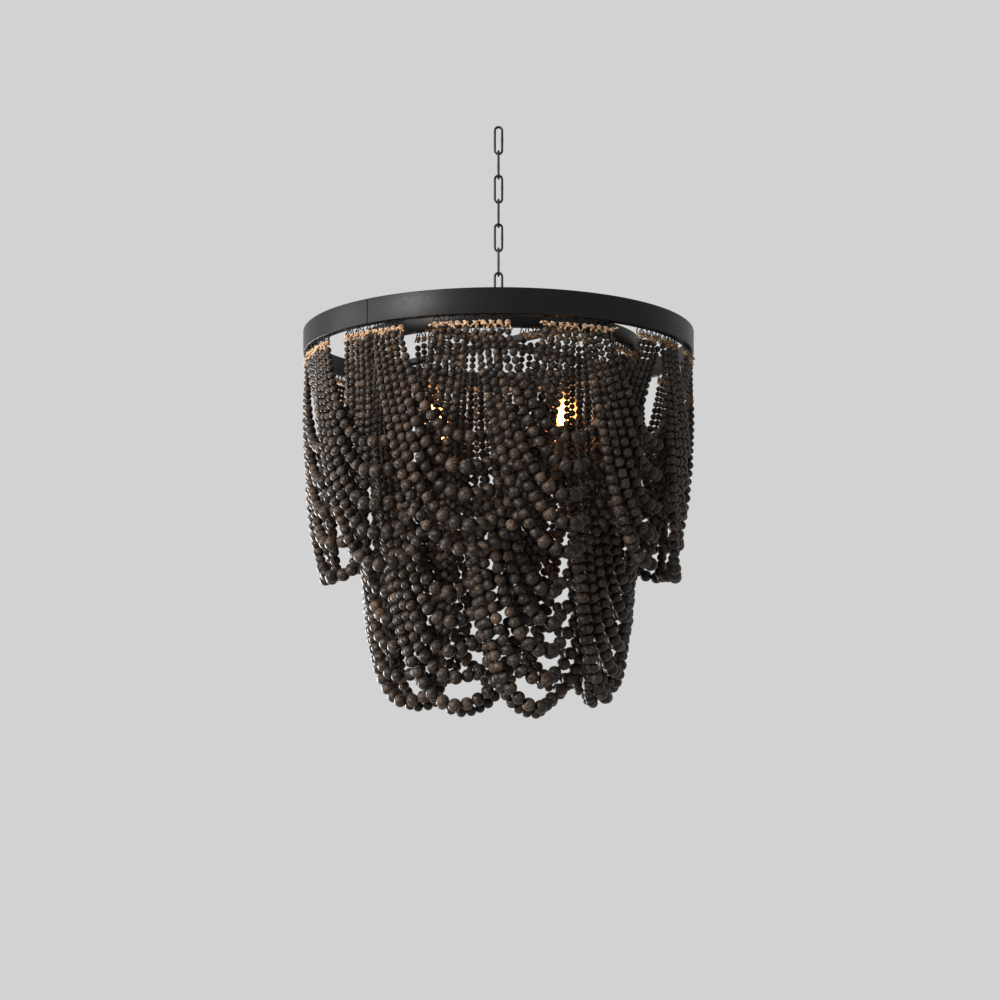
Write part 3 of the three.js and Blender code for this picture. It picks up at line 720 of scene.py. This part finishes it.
def strand_path(tier, swag, strand, shift, rng):
    """Points along a strand, and the azimuth and place of its left and right hook."""
    turn = math.radians(tier["first"]) + TURN * swag / tier["swags"]
    innermost = math.radians(tier["innermost"])
    pitch = TURN / tier["swags"] - CLUSTER_GAP / (2 * tier["hook_radius"]) - innermost
    hook_angle = innermost + strand * pitch / (tier["strands"] - 0.5)
    last = strand == tier["strands"] - 1
    even = tier["strands"] - 1 if tier["last_drop"] else tier["strands"]
    sideways = -math.cos(2 * (turn - math.radians(SIDE_AZIMUTH - 90)))
    longest = tier["longest"] + tier["side_drop"] * sideways
    share = min(strand / (even - 1), 1)
    depth = tier["shortest"] + (longest - tier["shortest"]) * share
    depth += tier["last_drop"] if last else 0
    depth -= rng.uniform(0, STRAND_LIFT)
    top = tier["hook_z"] - GAP - HOOK_LENGTH - FIRST_BEAD
    half = tier["hook_radius"] * math.sin(hook_angle)
    drop = top - (HOOP_TOP - depth)
    slide = tier["slides"].get(swag, shift) + rng.uniform(-STRAND_SLIDE, STRAND_SLIDE)
    across, up = hanging_curve(half, drop)
    x = np.concatenate([-across[:0:-1], across])
    height = np.concatenate([up[:0:-1], up])
    below = drop - height
    parted = 1 - np.exp(-np.power(np.maximum(below, 0) / LAYER_DEPTH, LAYER_POWER))
    layer = LAYER_REACH * parted
    side = np.clip((x - tier["crossing_at"]) / tier["crossing"], -1, 1)
    inset = tier["last_inset"] if last else 0
    chord = tier["hook_radius"] * math.cos(hook_angle)
    near_bottom = np.maximum(1 - (x / INSET_HALF_WIDTH) ** 2, 0)
    reach = chord + (tier["spread"][strand] - inset) * near_bottom
    widening = 1 + (tier["wider"][strand] - 1) * np.clip(below / WIDENING_DEPTH, 0, 1)
    x_shown = x * widening + slide * np.power(np.clip(below / drop, 0, 1), SLIDE_POWER)
    radius = np.hypot(reach, x) - LAYER_SETBACK * parted - layer * np.sin(side * math.pi / 2)
    wave = rng.uniform(0, TURN)
    radius = radius + WAVE_REACH * parted * np.sin(below / WAVE_LENGTH + wave)
    azimuth = turn + np.arctan2(x_shown, reach)
    z = top - drop + height
    points = np.stack([radius * np.sin(azimuth), -radius * np.cos(azimuth), z], axis=-1)

    hooks = []
    for angle in (turn - hook_angle, turn + hook_angle):
        x, y = tier["hook_radius"] * math.sin(angle), -tier["hook_radius"] * math.cos(angle)
        hooks.append((angle, np.array([x, y, tier["hook_z"]])))
    left = np.linspace(hooks[0][1], points[0], 8)[:-1]
    right = np.linspace(points[-1], hooks[1][1], 8)[1:]
    return np.concatenate([left, points, right]), hooks


def bead_template(segments, rings):
    """A slightly flat round bead with a dimple at each end of its bore."""
    angles = np.linspace(BORE_ANGLE, math.pi - BORE_ANGLE, rings)
    turn = even_turns(segments)
    verts = []
    for angle in angles:
        verts.append(np.stack([
            math.sin(angle) * np.cos(turn),
            math.sin(angle) * np.sin(turn),
            np.full(segments, math.cos(angle)),
        ], axis=-1))
    verts = np.concatenate(verts + [np.array([[0, 0, BORE_FLOOR], [0, 0, -BORE_FLOOR]])])
    return verts, grid_quads(rings, segments), caps(rings, segments)


LARGE_BEAD = bead_template(20, 11)
SMALL_BEAD = bead_template(14, 8)


def bead_radius(from_bottom, length, tier, strand, rng):
    """The radius at a distance from the bottom of half a strand of this length."""
    spread = rng.uniform(*BEAD_SIZES)
    if from_bottom < tier["largest_reach"][strand]:
        return tier["largest"][strand] * spread
    for limit, radius in tier["sizes"]:
        if from_bottom / length < limit:
            return radius * spread
    return tier["sizes"][-1][1]


def strand_beads(path, tier, strand, rng):
    """(centre, radius, direction) arrays of a strand."""
    steps = np.linalg.norm(np.diff(path, axis=0), axis=1)
    along = np.concatenate([[0], np.cumsum(steps)])
    bottom = along[np.argmin(path[:, 2])]
    first = tier["largest"][strand]
    shift = rng.uniform(-0.5, 0.5) * first
    positions, radii = [bottom + shift], [first]
    for sign in (-1, 1):
        length = (along[-1] - bottom if sign > 0 else bottom) - HOOK_LENGTH - KNOT_ROOM
        position = sign * shift
        previous = first
        while True:
            radius = bead_radius(max(position + previous, 0), length, tier, strand, rng)
            position += (previous + radius) * BEAD_FLATNESS
            if position + radius * BEAD_FLATNESS > length:
                break
            positions.append(bottom + sign * position)
            radii.append(radius)
            previous = radius
    positions, radii = np.array(positions), np.array(radii)

    def on_path(distances):
        return np.stack([np.interp(distances, along, path[:, k]) for k in range(3)], axis=-1)

    direction = on_path(positions + radii * BORE_REACH) - on_path(positions - radii * BORE_REACH)
    direction /= np.linalg.norm(direction, axis=1, keepdims=True)
    return on_path(positions), radii, direction


def turned_frames(direction, rng):
    """Rotation matrices whose third column is the thread's direction, rolled at random."""
    count = len(direction)
    lean = direction + rng.normal(0, BEAD_LEAN, (count, 3))
    lean /= np.linalg.norm(lean, axis=1, keepdims=True)
    helper = rng.normal(0, 1, (count, 3))
    first = np.cross(lean, helper)
    first /= np.linalg.norm(first, axis=1, keepdims=True)
    second = np.cross(lean, first)
    return np.stack([first, second, lean], axis=-1)


def random_rotations(count, rng):
    quats = rng.normal(0, 1, (count, 4))
    quats /= np.linalg.norm(quats, axis=1, keepdims=True)
    w, x, y, z = quats.T
    return np.stack([
        np.stack([1 - 2 * (y * y + z * z), 2 * (x * y - z * w), 2 * (x * z + y * w)], -1),
        np.stack([2 * (x * y + z * w), 1 - 2 * (x * x + z * z), 2 * (y * z - x * w)], -1),
        np.stack([2 * (x * z - y * w), 2 * (y * z + x * w), 1 - 2 * (x * x + y * y)], -1),
    ], axis=1)


def beads_mesh(centres, radii, direction, template, rng):
    """The beads' arrays, and for each point its place in the wood and its bead's tone."""
    verts, quads, tris = template
    count, points = len(centres), len(verts)
    frames = turned_frames(direction, rng)
    scaled = verts * np.array([1, 1, BEAD_FLATNESS])
    local = np.einsum("nij,pj->npi", frames, scaled) * radii[:, None, None]
    world = local + centres[:, None, :]
    grain = random_rotations(count, rng)
    wood = np.einsum("nij,pj->npi", grain, verts) * (radii / GRAIN_RADIUS)[:, None, None]
    wood = wood + rng.uniform(-GRAIN_REACH, GRAIN_REACH, (count, 1, 3))
    tone = np.repeat(rng.normal(0.0, BEAD_TONE, count), points)
    base = (np.arange(count) * points)[:, None, None]
    return (
        world.reshape(-1, 3),
        (quads[None] + base).reshape(-1, 4),
        (tris[None] + base).reshape(-1, 3),
        wood.reshape(-1, 3),
        tone,
    )


def loose_end(start, heading, length, rng):
    """A short frayed end of jute that leaves a knot and droops."""
    points = [start]
    for _ in range(END_STEPS):
        heading = heading + [0, 0, -END_DROOP] + rng.normal(0, END_CURL, 3)
        heading /= np.linalg.norm(heading)
        points.append(points[-1] + heading * length / END_STEPS)
    radii = np.linspace(*END_RADII, END_STEPS + 1) * rng.uniform(*END_SIZES)
    return tube(points, radii, sides=7, squash=END_FLATNESS)


def knot(centre, across, rng):
    """An overhand knot of jute: a lumpy ball with two wraps."""
    rings, sides = 7, 12
    turn = even_turns(sides)
    phase = rng.uniform(0, TURN)
    verts = []
    for angle in np.linspace(0.15, math.pi - 0.15, rings):
        lump = 1 + KNOT_LUMP * np.sin(2 * turn + 3 * angle + phase)
        radius = KNOT_RADIUS * math.sin(angle) * lump
        verts.append(np.stack([
            radius * np.cos(turn),
            radius * np.sin(turn) * KNOT_FLATNESS,
            np.full(sides, KNOT_RADIUS * math.cos(angle)),
        ], axis=-1))
    verts = np.concatenate(verts + [np.array([[0, 0, KNOT_RADIUS], [0, 0, -KNOT_RADIUS]])])
    tilt = rng.normal(0, 0.3)
    c, s = math.cos(tilt), math.sin(tilt)
    out = np.cross(across, [0, 0, 1])
    basis = np.stack([across, out, [0, 0, 1]], axis=0)
    x, y, z = verts.T
    rolled = np.stack([c * x - s * z, y, s * x + c * z], axis=-1)
    ball = (rolled @ basis + centre, grid_quads(rings, sides), caps(rings, sides))
    turn = even_turns(14)
    wraps = []
    for lean in WRAP_LEANS:
        ring = np.stack([
            WRAP_WIDTH * np.cos(turn),
            WRAP_DEPTH * np.sin(turn),
            WRAP_WIDTH * lean * np.cos(turn + phase),
        ], axis=-1)
        wraps.append(tube(ring @ basis + centre, WRAP_RADIUS, sides=6, closed=True))
    return [ball] + wraps


def wire_ring(centre, across, height, width, lean, wire):
    """An upright oval ring of thin wire, its width along "across", leaning to that side."""
    turn = even_turns(16)
    x = width / 2 * np.cos(turn)
    z = height / 2 * np.sin(turn)
    c, s = math.cos(lean), math.sin(lean)
    points = np.outer(c * x - s * z, across) + np.outer(s * x + c * z, [0, 0, 1]) + centre
    out = np.cross(across, [0, 0, 1])
    points = points + np.outer(RING_BOW * np.cos(turn), out)
    return tube(points, wire, sides=6, closed=True)


def hook_pieces(hook, angle, strand, rng):
    """The jute and the wire between a hoop and one end of a strand."""
    across = np.array([math.cos(angle), math.sin(angle), 0])
    out = np.array([math.sin(angle), -math.cos(angle), 0])
    centre = hook + [0, 0, -KNOT_DEPTH] + across * rng.normal(0, KNOT_SLIDE)
    jute = knot(centre, across, rng)
    for side in (-1, 1):
        heading = across * side * rng.uniform(0.2, 1.2) + out * rng.uniform(0, 0.7)
        heading = heading + [0, 0, rng.uniform(-1.1, 0.35)]
        heading /= np.linalg.norm(heading)
        jute.append(loose_end(centre, heading, rng.uniform(*END_LENGTHS), rng))
    by_turns = 1 if strand % 2 else -1
    lean = RING_LEAN * by_turns + rng.normal(0, 0.08)
    ring_at = hook + [0, 0, -RING_DEPTH] + out * RING_STEP * by_turns
    ring = wire_ring(ring_at, across, *RING_SIZE, lean, RING_WIRE)
    loop = wire_ring(centre + [0, 0, LOOP_RISE], out, *LOOP_SIZE, rng.normal(0, 0.2), LOOP_WIRE)
    return jute, [ring, loop]


def add_swag(tier, swag):
    rng = np.random.default_rng(SEED + 100 * swag + (0 if tier is UPPER else 5000))
    node = f"{tier['name']}_{swag + 1:02d}"
    large, small, threads, knots, wires = [], [], [], [], []
    shift = rng.uniform(-SWAG_SLIDE, SWAG_SLIDE)
    for strand in range(tier["strands"]):
        path, hooks = strand_path(tier, swag, strand, shift, rng)
        centres, radii, direction = strand_beads(path, tier, strand, rng)
        big = radii > FINE_RADIUS
        large.append((centres[big], radii[big], direction[big]))
        small.append((centres[~big], radii[~big], direction[~big]))
        hung = path[path[:, 2] < tier["hook_z"] - HOOK_LENGTH + THREAD_HEAD]
        threads.append(tube(hung[::THREAD_STEP], THREAD_RADIUS, sides=4))
        for angle, hook in hooks:
            jute, wire = hook_pieces(hook, angle, strand, rng)
            knots += jute
            wires += wire

    parts, wood, tone = [], [], []
    for groups, template in ((large, LARGE_BEAD), (small, SMALL_BEAD)):
        centres, radii, direction = [np.concatenate(arrays) for arrays in zip(*groups)]
        v, q, t, w, b = beads_mesh(centres, radii, direction, template, rng)
        parts.append((v, q, t))
        wood.append(w)
        tone.append(b)
    verts, quads, tris = joined(parts)
    beads = mesh_object(f"{node}_beads", verts, quads, tris, BEADS)
    attribute = beads.data.attributes.new("bead_co", "FLOAT_VECTOR", "POINT")
    attribute.data.foreach_set("vector", np.concatenate(wood).astype(np.float32).ravel())
    attribute = beads.data.attributes.new("bead_tone", "FLOAT", "POINT")
    attribute.data.foreach_set("value", np.concatenate(tone).astype(np.float32))
    place(beads, FIXTURE, "bead_wood", node)

    for kind, meshes, material, slot in (
        ("threads", threads, JUTE, "jute"),
        ("knots", knots, JUTE, "jute"),
        ("rings", wires, HOOK_WIRE, "hook_wire"),
    ):
        place(mesh_object(f"{node}_{kind}", *joined(meshes), material), FIXTURE, slot)


for tier in (UPPER, LOWER):
    for number in range(tier["swags"]):
        add_swag(tier, number)


# ---------------------------------------------------------------------------
# Hoops, arms and hub


def hoop_azimuths(seam):
    """Evenly spaced azimuths, with a few close to the seam if there is one."""
    turns = np.linspace(0, TURN, 360, endpoint=False)
    if seam is not None:
        near = seam + np.outer((-1, 1), SEAM_POINTS).ravel()
        turns = turns[np.abs((turns - seam % TURN + math.pi) % TURN - math.pi) > SEAM_ROOM]
        turns = np.sort(np.concatenate([turns, near % TURN]))
    return turns


def add_hoop(node, radius, wall, lip, bottom, top, seam=None):
    corners = [
        (radius - lip, bottom), (radius, bottom), (radius, top),
        (radius - wall, top), (radius - wall, bottom + wall), (radius - lip, bottom + wall),
    ]
    turns = hoop_azimuths(seam)
    verts, quads, tris = revolve(rounded(corners, EDGE_ROUNDING), azimuths=turns)
    if seam is not None:
        angle = np.arctan2(verts[:, 0], -verts[:, 1])
        off = np.abs((angle - seam + math.pi) % TURN - math.pi)
        groove = np.where(off < SEAM_HALF_WIDTH, SEAM_DEPTH, 0)
        reach = np.hypot(verts[:, 0], verts[:, 1])
        outer = reach > radius - wall / 2
        verts[:, :2] *= np.where(outer, 1 - groove / reach, 1)[:, None]
    piece = mesh_object(f"{node}_smooth", verts, quads, tris, FRAME_PAINT)
    outward(piece)
    place(piece, FIXTURE, "frame_paint", node)


def add_arm(index):
    angle = LAMP_AZIMUTHS[index]
    start = HUB_FLAT + GAP
    end = HOOP_RADIUS - HOOP_WALL - ARM_END_GAP
    verts, quads, tris = bevelled_box(
        (-ARM_WIDTH / 2, -end, ARM_BOTTOM), (ARM_WIDTH / 2, -start, HOOP_TOP), EDGE_ROUNDING
    )
    c, s = math.cos(angle), math.sin(angle)
    x, y, z = verts.T
    verts = np.stack([c * x - s * y, s * x + c * y, z], axis=-1)
    piece = mesh_object(f"arm_{index + 1}_bar", verts, quads, tris, FRAME_PAINT, smooth=False)
    outward(piece)
    place(piece, FIXTURE, "frame_paint", f"arm_{index + 1}")


add_hoop(
    "outer_hoop", HOOP_RADIUS - HOOP_INSET, HOOP_WALL, HOOP_LIP, HOOP_BOTTOM, HOOP_TOP, SEAM_AZIMUTH
)
add_hoop("inner_hoop", INNER_RADIUS, HOOP_WALL, INNER_LIP, INNER_BOTTOM, INNER_TOP)
for number in range(len(LAMP_AZIMUTHS)):
    add_arm(number)


def turned_piece(name, profile, material, slot, *nodes, at=(0, 0), segments=64, round_by=0.6):
    """A piece of the fixture turned about an upright axis."""
    closed = profile[0][0] > 0
    points = rounded(profile, round_by, closed=closed)
    piece = mesh_object(name, *revolve(points, segments, at), material)
    outward(piece)
    place(piece, FIXTURE, slot, *nodes)


turned_piece(
    "hub_disc",
    [(BORE_RADIUS, ARM_BOTTOM), (HUB_RADIUS - 0.4, ARM_BOTTOM), (HUB_RADIUS - 0.4, HOOP_TOP),
     (BORE_RADIUS, HOOP_TOP)],
    FRAME_PAINT, "frame_paint", "hub", round_by=0.9,
)


# ---------------------------------------------------------------------------
# Chain and eye


def stadium(length, width, steps=14):
    """The centre line of a link in the XZ plane."""
    radius = width / 2
    straight = length / 2 - radius
    points = []
    for end in (1, -1):
        for k in range(steps + 1):
            turn = math.pi * k / steps
            rise = straight + radius * math.sin(turn)
            points.append((end * radius * math.cos(turn), 0, end * rise))
        for share in (0.25, 0.5, 0.75):
            points.append((-end * radius, 0, end * straight * (1 - 2 * share)))
    return np.array(points)


def add_chain():
    """Links that each stand a quarter turn against the last, with a weld on one side."""
    line = stadium(LINK_LENGTH - LINK_WIRE, LINK_WIDTH - LINK_WIRE)
    for index in range(LINK_COUNT):
        radii = np.full(len(line), LINK_WIRE / 2)
        weld = (line[:, 0] > LINK_WIDTH / 4) & (np.abs(line[:, 2]) < LINK_LENGTH / 20)
        radii[weld] = LINK_WIRE / 2 + WELD_BULGE
        verts, quads, tris = tube(line, radii, sides=16, closed=True)
        if index % 2:
            verts = np.stack([-verts[:, 1], verts[:, 0], verts[:, 2]], axis=-1)
        verts = verts * [LINK_SLIMNESS, LINK_SLIMNESS, 1] + [0, 0, TOP_LINK_Z - index * LINK_PITCH]
        piece = mesh_object(f"link_{index + 1}_wire", verts, quads, tris, CHAIN_STEEL)
        outward(piece)
        place(piece, f"link_{index + 1}", "black_steel", f"chain_link_{index + 1}")


def add_eye():
    low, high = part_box("hub_eye")
    bottom, centre = low[2] / MM, high[2] / MM - EYE_RADIUS
    turn = even_turns(40)
    reach = EYE_RADIUS - EYE_WIRE / 2
    ring = np.stack([
        reach * np.cos(turn), np.zeros(len(turn)), centre + reach * np.sin(turn),
    ], axis=-1)
    shank = revolve(rounded([
        (0, bottom), (9, bottom), (9, bottom + 3), (4.6, bottom + 3.6), (3.9, bottom + 5),
        (3.4, centre - reach), (0, centre - reach),
    ], 0.5, closed=False), 48)
    wire = tube(ring, EYE_WIRE / 2, sides=16, closed=True)
    piece = mesh_object("eye_ring", *joined([wire, shank]), CHAIN_STEEL)
    outward(piece)
    place(piece, FIXTURE, "black_steel", "hub_eye")


add_chain()
add_eye()


# ---------------------------------------------------------------------------
# Lamps

gland_low, gland_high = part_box("wire_gland")
gland_y = (gland_low[1] + gland_high[1]) / 2 / MM
gland_z = gland_low[2] / MM
turned_piece(
    "gland_bush",
    [(3.3, gland_z), (6.1, gland_z), (6.1, gland_z + 2.5), (4.9, gland_z + 2.9), (4.6, gland_z + 7),
     (3.3, gland_z + 7)],
    GLAND, "gland_plastic", "wire_gland", at=(0, gland_y), segments=40, round_by=0.4,
)
turned_piece(
    "stem_tube",
    [(BORE_RADIUS, LAMP_HUB_TOP + GAP), (STEM_COLLAR_RADIUS, LAMP_HUB_TOP + GAP),
     (STEM_COLLAR_RADIUS, LAMP_HUB_TOP + 4), (STEM_RADIUS, LAMP_HUB_TOP + 6),
     (STEM_RADIUS, ARM_BOTTOM - GAP), (BORE_RADIUS, ARM_BOTTOM - GAP)],
    FRAME_PAINT, "frame_paint", "lamp_stem",
)
turned_piece(
    "lamp_boss",
    [(BORE_RADIUS, LAMP_HUB_BOTTOM), (LAMP_HUB_FACE, LAMP_HUB_BOTTOM),
     (LAMP_HUB_RADIUS, LAMP_HUB_BOTTOM + LAMP_HUB_SLOPE),
     (LAMP_HUB_RADIUS, LAMP_HUB_TOP - LAMP_HUB_SLOPE),
     (LAMP_HUB_FACE, LAMP_HUB_TOP), (BORE_RADIUS, LAMP_HUB_TOP)],
    FRAME_PAINT, "frame_paint", "lamp_hub", round_by=2.5,
)
finial_low, finial_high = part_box("finial")
finial_top, finial_bottom = finial_high[2] / MM, finial_low[2] / MM
turned_piece(
    "finial_ball",
    [(0, finial_bottom), (5.2, finial_bottom + 1.6), (8.6, finial_bottom + 7), (8.9, finial_bottom + 12),
     (6.6, finial_bottom + 18), (4.4, finial_bottom + 22), (5, finial_bottom + 24),
     (5, finial_top), (0, finial_top)],
    FRAME_PAINT, "frame_paint", "finial", round_by=2.2,
)


def add_candle_arm(index, angle, at):
    """A tube from the lower hub that bends up into its cup."""
    lift, bend = (LAMP_HUB_TOP + LAMP_HUB_BOTTOM) / 2, CANDLE_BEND_RADIUS
    cup_bottom = SLEEVE_BOTTOM - GAP + CUP_RECESS - CUP_HEIGHT
    line = [(reach, lift) for reach in (CANDLE_ROOT, 45, 80)]
    for turn in np.linspace(0, math.pi / 2, 9):
        line.append((LAMP_RADIUS - bend + bend * math.sin(turn), lift + bend * (1 - math.cos(turn))))
    line.append((LAMP_RADIUS, cup_bottom + 1.2))
    reach, z = np.array(line).T
    path = np.stack([reach * math.sin(angle), -reach * math.cos(angle), z], axis=-1)
    cup = revolve(rounded([
        (0, cup_bottom), (7, cup_bottom), (11.5, cup_bottom + 2.4), (18.6, cup_bottom + 5.2),
        (18.9, cup_bottom + CUP_HEIGHT), (17.6, cup_bottom + CUP_HEIGHT),
        (15.5, cup_bottom + 5.4), (0, cup_bottom + 4.7),
    ], 0.8, closed=False), 64, at)
    pieces = joined([tube(path, CANDLE_TUBE_RADIUS, sides=16), cup])
    piece = mesh_object(f"candle_arm_{index + 1}_tube", *pieces, FRAME_PAINT)
    outward(piece)
    place(piece, FIXTURE, "frame_paint", f"candle_arm_{index + 1}")


def add_candle(index, at):
    """A sleeve, and a bulb whose glass and base are two pieces."""
    bore_floor = SLEEVE_TOP - SLEEVE_BORE_DEPTH
    turned_piece(
        f"sleeve_{index + 1}_tube",
        [(0, SLEEVE_BOTTOM), (SLEEVE_RADIUS, SLEEVE_BOTTOM), (SLEEVE_RADIUS, SLEEVE_TOP),
         (SLEEVE_BORE_RADIUS, SLEEVE_TOP), (SLEEVE_BORE_RADIUS, bore_floor), (0, bore_floor)],
        SLEEVE, "candle_sleeve", f"candle_sleeve_{index + 1}", at=at, round_by=0.8,
    )
    shoulder = SLEEVE_TOP + GAP
    glass = [(0, shoulder + 0.2)]
    for height, width in BULB_FLAME:
        glass.append((width * BULB_RADIUS, shoulder + 0.4 + height * (BULB_LENGTH - 0.6)))
    turned_piece(
        f"bulb_{index + 1}_glass", glass, BULB, "bulb_glass", f"bulb_{index + 1}",
        at=at, segments=48, round_by=3,
    )
    foot = shoulder - BULB_BASE_LENGTH
    turned_piece(
        f"bulb_{index + 1}_base",
        [(0, foot), (3, foot), (BULB_BASE_RADIUS, foot + 3), (BULB_BASE_RADIUS, shoulder),
         (9.2, shoulder), (9.2, shoulder + 0.3), (0, shoulder + 0.3)],
        BRASS, "bulb_glass", at=at, segments=32, round_by=0.3,
    )


for number, azimuth in enumerate(LAMP_AZIMUTHS):
    axis = (LAMP_RADIUS * math.sin(azimuth), -LAMP_RADIUS * math.cos(azimuth))
    add_candle_arm(number, azimuth, axis)
    add_candle(number, axis)
